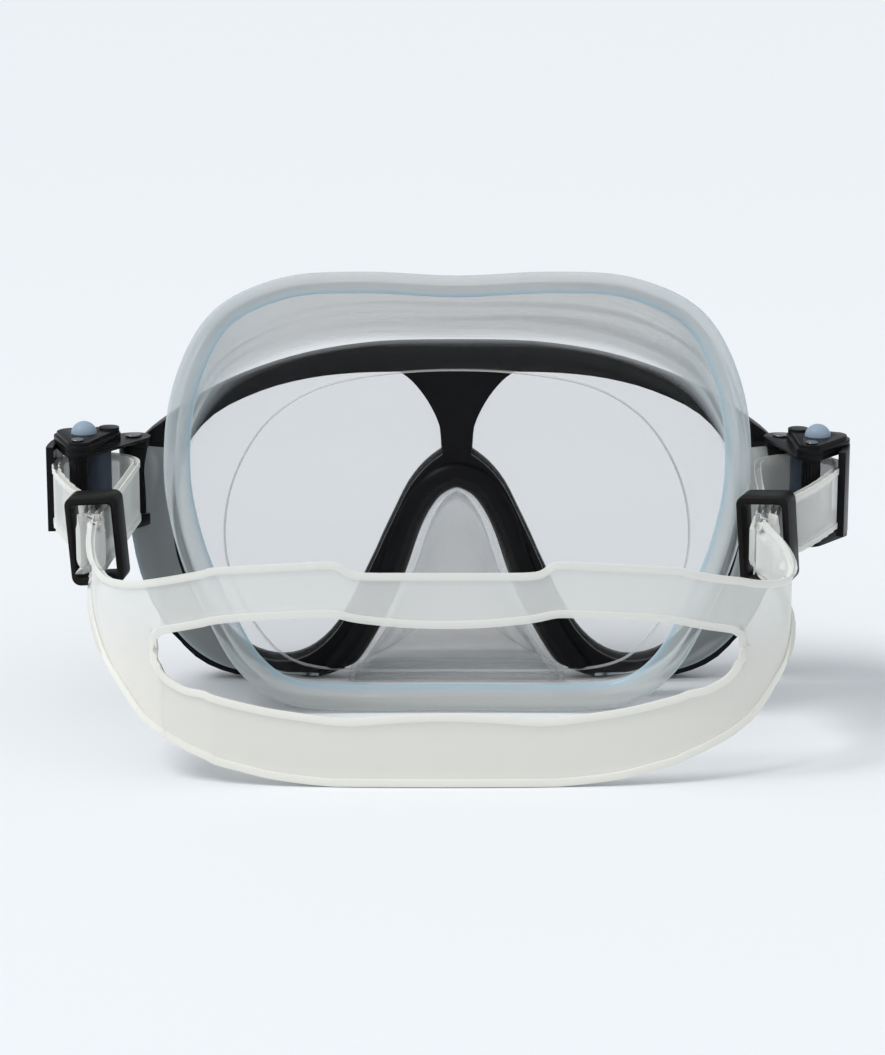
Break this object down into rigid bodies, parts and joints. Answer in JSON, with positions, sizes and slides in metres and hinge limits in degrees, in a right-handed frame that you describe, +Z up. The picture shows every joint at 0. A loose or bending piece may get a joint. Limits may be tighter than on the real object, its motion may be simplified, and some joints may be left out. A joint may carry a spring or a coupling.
{
  "type": "diving mask",
  "caption": "Two-lens diving mask: clear silicone skirt with nose pocket, black frame, swivel buckles with release buttons and a split head strap.",
  "frame": {"origin": "on the table, under the middle of the lens plane, on the mask's plane of symmetry", "axes": "+X to the wearer's right, +Y the way the wearer looks, +Z up"},
  "size_m": [0.1846, 0.103, 0.1039],
  "materials": {
    "black_plastic": "satin moulded polycarbonate",
    "bezel_plastic": "semi-gloss moulded polycarbonate",
    "lens_glass": "clear tempered glass",
    "skirt_silicone": "clear glossy silicone",
    "strap_silicone": "milky matt silicone",
    "button_plastic": "semi-gloss grey-blue acetal",
    "roller_plastic": "satin acetal",
    "keeper_plastic": "matt moulded nylon",
    "steel": "stainless pin stock"
  },
  "bodies": {
    "mask": {"main_frame": "black_plastic", "front_bezel": "bezel_plastic", "lens_left": "lens_glass", "lens_right": "lens_glass", "skirt": "skirt_silicone", "head_strap": "strap_silicone"},
    "buckle_left": {"hinge_pin_left": "steel", "buckle_body_left": "black_plastic", "buckle_cap_left": "black_plastic", "lock_pin_left": "steel", "roller_pin_left": "steel", "button_spring_left": "steel", "strap_loop_left": "strap_silicone"},
    "button_left": {"release_button_left": "button_plastic"},
    "lock_left": {"lock_bar_left": "black_plastic"},
    "roller_left": {"strap_roller_left": "roller_plastic"},
    "keeper_left": {"strap_keeper_left": "keeper_plastic"},
    "buckle_right": {"hinge_pin_right": "steel", "buckle_body_right": "black_plastic", "buckle_cap_right": "black_plastic", "lock_pin_right": "steel", "roller_pin_right": "steel", "button_spring_right": "steel", "strap_loop_right": "strap_silicone"},
    "button_right": {"release_button_right": "button_plastic"},
    "lock_right": {"lock_bar_right": "black_plastic"},
    "roller_right": {"strap_roller_right": "roller_plastic"},
    "keeper_right": {"strap_keeper_right": "keeper_plastic"}
  },
  "joints": [
    {"name": "swivel_left", "type": "hinge", "parent": "mask", "child": "buckle_left", "pos_m": [-0.0755, -0.01, 0.0514], "axis": [0, 0, 1], "range_deg": [-15, 14]},
    {"name": "button_press_left", "type": "slide", "parent": "buckle_left", "child": "button_left", "axis": [0, 0, -1], "range_m": [0, 0.0012], "stiffness_N_per_m": 400, "springref_m": -0.001, "deforming": ["button_spring_left"]},
    {"name": "lock_turn_left", "type": "hinge", "parent": "buckle_left", "child": "lock_left", "pos_m": [-0.08668, -0.02717, 0.0514], "axis": [0, 0, 1], "range_deg": [0, 20]},
    {"name": "roller_spin_left", "type": "hinge", "parent": "buckle_left", "child": "roller_left", "pos_m": [-0.08282, -0.01877, 0.0514], "axis": [0, 0, 1], "continuous": true},
    {"name": "keeper_slide_left", "type": "slide", "parent": "buckle_left", "child": "keeper_left", "axis": [0.1219, 0.9925, 0], "range_m": [-0.0015, 0.0006]},
    {"name": "swivel_right", "type": "hinge", "parent": "mask", "child": "buckle_right", "pos_m": [0.0755, -0.01, 0.0514], "axis": [0, 0, 1], "range_deg": [-0.5, 25]},
    {"name": "button_press_right", "type": "slide", "parent": "buckle_right", "child": "button_right", "axis": [0, 0, -1], "range_m": [0, 0.0012], "stiffness_N_per_m": 400, "springref_m": -0.001, "deforming": ["button_spring_right"]},
    {"name": "lock_turn_right", "type": "hinge", "parent": "buckle_right", "child": "lock_right", "pos_m": [0.08065, -0.02983, 0.0514], "axis": [0, 0, -1], "range_deg": [0, 20]},
    {"name": "roller_spin_right", "type": "hinge", "parent": "buckle_right", "child": "roller_right", "pos_m": [0.07966, -0.02064, 0.0514], "axis": [0, 0, 1], "continuous": true},
    {"name": "keeper_slide_right", "type": "slide", "parent": "buckle_right", "child": "keeper_right", "axis": [0.1994, 0.9799, 0], "range_m": [-0.0015, 0.0006]}
  ],
  "couplings": [
    {"joint": "lock_turn_left", "follows": "button_press_left", "rad_per_m": 287.98},
    {"joint": "lock_turn_right", "follows": "button_press_right", "rad_per_m": 287.98}
  ]
}
